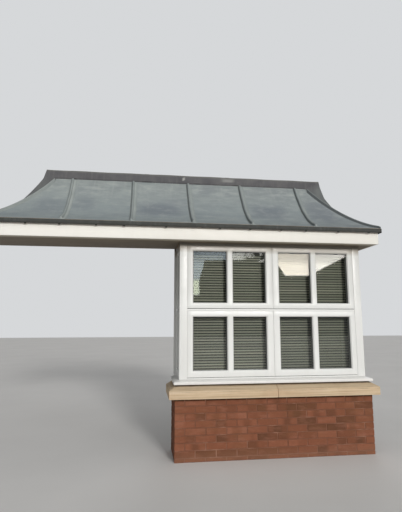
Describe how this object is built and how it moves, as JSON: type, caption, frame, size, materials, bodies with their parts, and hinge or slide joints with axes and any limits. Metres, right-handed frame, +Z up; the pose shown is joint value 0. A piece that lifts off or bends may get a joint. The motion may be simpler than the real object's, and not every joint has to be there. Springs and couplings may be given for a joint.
{
  "type": "square bay window with brick apron and lead canopy",
  "caption": "Square bay window on a brick apron with a stone sill, white casement frames with blinds, and a swept hipped lead canopy that runs on over the doorway beside it.",
  "frame": {"origin": "On the ground, in the middle of the footprint of the whole piece, canopy included.", "axes": "+Z is up. X runs along the house wall, with the bay under the +X half of the canopy. +Y points into the house, -Y faces the street."},
  "size_m": [4.47, 0.685, 3.302],
  "materials": {
    "brick": "sand-faced red brick in stretcher bond",
    "block": "grey concrete block",
    "plaster": "painted plaster",
    "concrete": "trowelled concrete",
    "sill_stone": "buff reconstituted stone",
    "white_pvc": "white window profile",
    "glass": "clear double glazing",
    "blind_slats": "satin slats",
    "board_white": "white board",
    "timber": "sawn softwood and plywood",
    "fascia_white": "cream-white board",
    "soffit_board": "dull stained boards",
    "lead": "weathered grey lead sheet",
    "lead_rolled": "dressed lead over wood-cored rolls",
    "lead_edge": "turned-down lead edge, dark and stained",
    "lead_flashing": "dark lead cover flashing"
  },
  "bodies": {
    "root": {"brick_front_wall": "brick", "brick_side_walls": "brick", "inner_leaf_front": "block", "inner_leaf_sides": "block", "plaster_lining": "plaster", "floor_slab": "concrete", "stone_sill_front": "sill_stone", "stone_sill_returns": "sill_stone", "white_cill_front": "white_pvc", "white_cill_returns": "white_pvc", "corner_posts": "white_pvc", "wall_trims": "white_pvc", "front_frame_left": "white_pvc", "front_frame_right": "white_pvc", "top_sash_left": "white_pvc", "bottom_sash_left": "white_pvc", "top_sash_right": "white_pvc", "bottom_sash_right": "white_pvc", "side_window_left": "white_pvc", "side_window_right": "white_pvc", "glass_front_left": "glass", "glass_front_right": "glass", "glass_sides": "glass", "blind_left": "blind_slats", "blind_right": "blind_slats", "window_board_front": "board_white", "window_board_sides": "board_white", "head_beams": "timber", "fascia_front": "fascia_white", "fascia_ends": "fascia_white", "soffit_boards": "soffit_board", "bay_ceiling": "plaster", "eave_beams": "timber", "wall_plates": "timber", "roof_formers": "timber", "hip_rafters": "timber", "roof_deck_front": "timber", "roof_deck_ends": "timber", "lead_sheets": "lead", "lead_rolls": "lead_rolled", "drip_edge": "lead_edge", "edge_clips": "lead_edge", "cover_flashing": "lead_flashing"}
  },
  "joints": []
}
